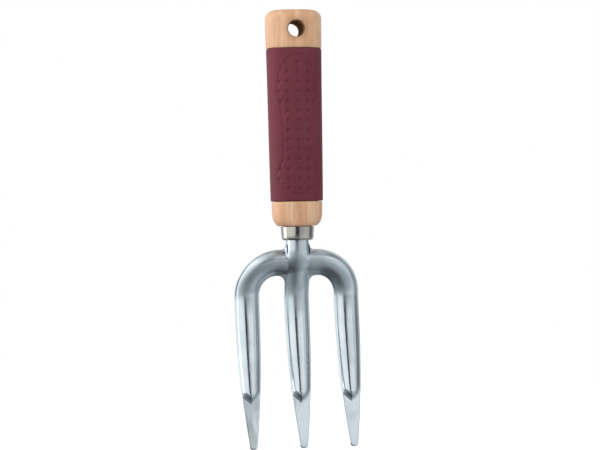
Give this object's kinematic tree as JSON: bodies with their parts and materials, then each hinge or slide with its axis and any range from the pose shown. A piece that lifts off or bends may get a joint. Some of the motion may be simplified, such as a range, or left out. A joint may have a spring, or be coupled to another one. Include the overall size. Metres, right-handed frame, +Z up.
{
  "type": "hand fork",
  "caption": "Short garden fork for one hand: a pressed steel head with curved, ridged tines on a cranked neck, and an oval wooden handle in a dimpled rubber sleeve, with a hanging hole.",
  "frame": {"origin": "centre of the hanging hole, halfway through the handle", "axes": "+Z up the handle towards its butt end, -Y the front, where the tines' tips point forward and their ridges stand out, +X across the tines"},
  "size_m": [0.0838, 0.029, 0.2895],
  "materials": {
    "beech": "sanded and thinly lacquered",
    "grip_rubber": "fine matt moulded, dark wine red",
    "collar_steel": "turned and lightly polished",
    "tang_steel": "plain drawn rod",
    "plated_steel": "bright plated, with soft die marks"
  },
  "bodies": {
    "root": {"wooden_handle": "beech", "rubber_grip": "grip_rubber", "steel_collar": "collar_steel", "tang": "tang_steel", "fork_head": "plated_steel"}
  },
  "joints": []
}
